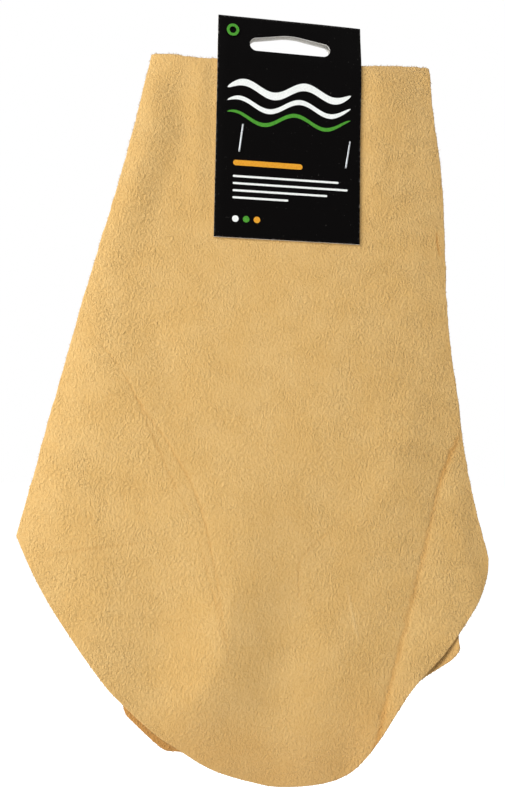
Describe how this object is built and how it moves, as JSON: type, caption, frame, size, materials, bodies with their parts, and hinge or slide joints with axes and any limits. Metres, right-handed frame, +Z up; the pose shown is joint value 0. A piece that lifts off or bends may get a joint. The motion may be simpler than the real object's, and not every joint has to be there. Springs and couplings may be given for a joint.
{
  "type": "chamois leather",
  "caption": "Folded chamois leather hanging from a stapled black header card with a peg slot; its front and back leaves swing below the card.",
  "frame": {"origin": "peak of the hang slot, halfway between the card's two panels, where a peg bears", "axes": "+X to the right, +Y away from the viewer through the card, +Z up as it hangs"},
  "size_m": [0.1963, 0.0156, 0.3213],
  "materials": {
    "leather": "napped, matt",
    "card": "coated black print, pale uncoated inside",
    "wire": "bright galvanised wire"
  },
  "bodies": {
    "carded_top": {"header_card": "card", "left_staple": "wire", "right_staple": "wire", "leather_top": "leather"},
    "front_leaf": {"front_leaf": "leather"},
    "back_leaf": {"back_leaf": "leather"}
  },
  "joints": [
    {"name": "front_leaf_swing", "type": "hinge", "parent": "carded_top", "child": "front_leaf", "pos_m": [0, -0.00115, -0.0942], "axis": [-1, 0, 0], "range_deg": [0, 120]},
    {"name": "back_leaf_swing", "type": "hinge", "parent": "carded_top", "child": "back_leaf", "pos_m": [0, 0.00115, -0.0942], "axis": [1, 0, 0], "range_deg": [0, 120]}
  ]
}
